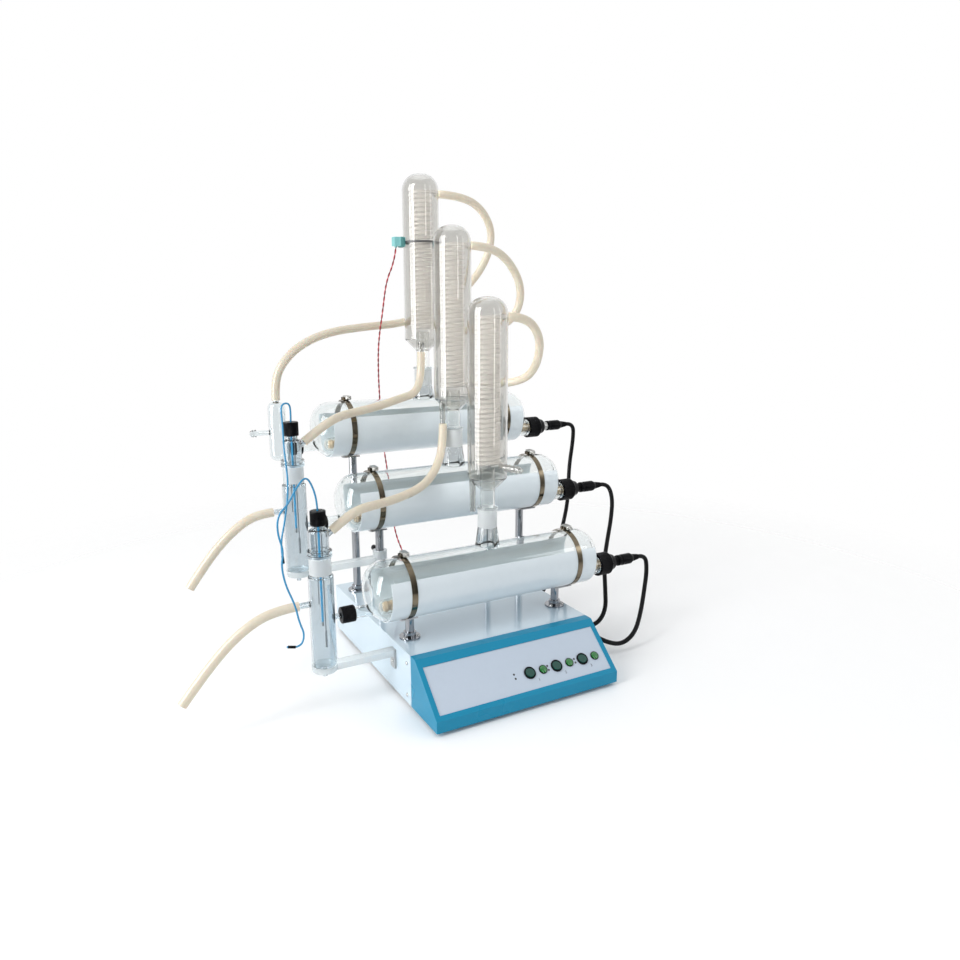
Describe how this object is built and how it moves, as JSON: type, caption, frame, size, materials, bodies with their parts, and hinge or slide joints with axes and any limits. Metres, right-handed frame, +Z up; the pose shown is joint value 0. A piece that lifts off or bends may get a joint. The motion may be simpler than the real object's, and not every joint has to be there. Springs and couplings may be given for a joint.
{
  "type": "water distiller",
  "caption": "Bench water distiller with stacked level glass boilers, upright coil condensers, level vessels and linking hoses on a sloping control cabinet.",
  "frame": {"origin": "centre of the cabinet's footprint, at the level of the undersides of its feet", "axes": "+Z up, +X to the operator's right along the boilers, +Y to the back, away from the control panel"},
  "size_m": [0.7228, 0.3959, 0.7125],
  "materials": {
    "white_paint": "satin",
    "blue_moulding": "semi gloss",
    "panel_blue": "satin",
    "steel_grey": "satin",
    "black_plastic": "semi gloss",
    "dark_rubber": "matte",
    "green_lens": "gloss",
    "dark_green": "gloss",
    "chrome": "polished",
    "clear_glass": "polished",
    "coil_glass": "polished",
    "white_sheet": "gloss",
    "quartz": "polished",
    "ceramic": "matte",
    "silicone": "satin",
    "hose_silicone": "satin",
    "electrode_metal": "brushed",
    "acetal": "satin",
    "teal": "satin",
    "cord_black": "matte",
    "lead_blue": "satin",
    "lead_red": "satin"
  },
  "bodies": {
    "stand": {"band_clamps": "chrome", "base_plate": "steel_grey", "boiler_front": "clear_glass", "boiler_middle": "clear_glass", "boiler_rear": "clear_glass", "cabinet_shell": "white_paint", "coil_front": "coil_glass", "coil_middle": "coil_glass", "coil_rear": "coil_glass", "condenser_front": "clear_glass", "condenser_middle": "clear_glass", "condenser_rear": "clear_glass", "control_panel": "panel_blue", "cord_glands": "black_plastic", "cord_heater_front": "cord_black", "cord_heater_middle": "cord_black", "cord_heater_rear": "cord_black", "electrodes": "electrode_metal", "fascia": "blue_moulding", "feed_vessel": "clear_glass", "heater_inserts": "ceramic", "heater_plugs": "black_plastic", "heater_sheaths": "quartz", "hose_distillate_middle": "hose_silicone", "hose_distillate_rear": "hose_silicone", "hose_drain_front": "hose_silicone", "hose_drain_middle": "hose_silicone", "hose_feed": "hose_silicone", "hose_middle_link": "hose_silicone", "hose_rear_link": "hose_silicone", "indicator_lamps": "green_lens", "lead_thermostat": "lead_red", "lead_vessel_front": "lead_blue", "lead_vessel_middle": "lead_blue", "level_vessel_front": "clear_glass", "level_vessel_middle": "clear_glass", "neck_seals": "silicone", "panhead_screws": "chrome", "post_flanges": "chrome", "reflectors": "white_sheet", "rubber_feet": "dark_rubber", "support_posts": "chrome", "switch_housings": "black_plastic", "thermostat": "teal", "thermostat_strap": "black_plastic", "vessel_head_front": "clear_glass", "vessel_head_middle": "clear_glass", "vessel_strips": "acetal"},
    "rocker_1": {"rocker_1": "dark_green"},
    "rocker_2": {"rocker_2": "dark_green"},
    "rocker_3": {"rocker_3": "dark_green"},
    "coupling_ring_front": {"coupling_ring_front": "black_plastic"},
    "coupling_ring_middle": {"coupling_ring_middle": "black_plastic"},
    "coupling_ring_rear": {"coupling_ring_rear": "black_plastic"},
    "neck_cap_front": {"neck_cap_front": "black_plastic"},
    "neck_cap_middle": {"neck_cap_middle": "black_plastic"},
    "neck_cap_rear": {"neck_cap_rear": "black_plastic"},
    "vessel_cap_front": {"vessel_cap_front": "black_plastic"},
    "vessel_cap_middle": {"vessel_cap_middle": "black_plastic"},
    "collar_knob": {"collar_knob": "black_plastic"}
  },
  "joints": [
    {"name": "switch_1_tilt", "type": "hinge", "parent": "stand", "child": "rocker_1", "pos_m": [0.0093, -0.16391, 0.04018], "axis": [1, 0, 0], "range_deg": [0, 24]},
    {"name": "switch_2_tilt", "type": "hinge", "parent": "stand", "child": "rocker_2", "pos_m": [0.0524, -0.16391, 0.04018], "axis": [1, 0, 0], "range_deg": [0, 24]},
    {"name": "switch_3_tilt", "type": "hinge", "parent": "stand", "child": "rocker_3", "pos_m": [0.0955, -0.16391, 0.04018], "axis": [1, 0, 0], "range_deg": [0, 24]},
    {"name": "ring_front_turn", "type": "hinge", "parent": "stand", "child": "coupling_ring_front", "pos_m": [0.21, -0.056, 0.1282], "axis": [1, 0, 0], "range_deg": [0, 540]},
    {"name": "ring_middle_turn", "type": "hinge", "parent": "stand", "child": "coupling_ring_middle", "pos_m": [0.21, 0.047, 0.2259], "axis": [1, 0, 0], "range_deg": [0, 540]},
    {"name": "ring_rear_turn", "type": "hinge", "parent": "stand", "child": "coupling_ring_rear", "pos_m": [0.21, 0.15, 0.316], "axis": [1, 0, 0], "range_deg": [0, 540]},
    {"name": "neck_cap_front_turn", "type": "hinge", "parent": "stand", "child": "neck_cap_front", "pos_m": [-0.202, -0.056, 0.1282], "axis": [-1, 0, 0], "range_deg": [0, 540]},
    {"name": "neck_cap_middle_turn", "type": "hinge", "parent": "stand", "child": "neck_cap_middle", "pos_m": [-0.202, 0.047, 0.2259], "axis": [-1, 0, 0], "range_deg": [0, 540]},
    {"name": "neck_cap_rear_turn", "type": "hinge", "parent": "stand", "child": "neck_cap_rear", "pos_m": [-0.202, 0.15, 0.316], "axis": [-1, 0, 0], "range_deg": [0, 540]},
    {"name": "vessel_cap_front_turn", "type": "hinge", "parent": "stand", "child": "vessel_cap_front", "pos_m": [-0.237, -0.056, 0.2642], "axis": [0, 0, 1], "range_deg": [0, 540]},
    {"name": "vessel_cap_middle_turn", "type": "hinge", "parent": "stand", "child": "vessel_cap_middle", "pos_m": [-0.237, 0.047, 0.3619], "axis": [0, 0, 1], "range_deg": [0, 540]},
    {"name": "collar_knob_turn", "type": "hinge", "parent": "stand", "child": "collar_knob", "pos_m": [-0.1166, 0.067, 0.17], "axis": [0, 1, 0], "range_deg": [0, 360]}
  ]
}
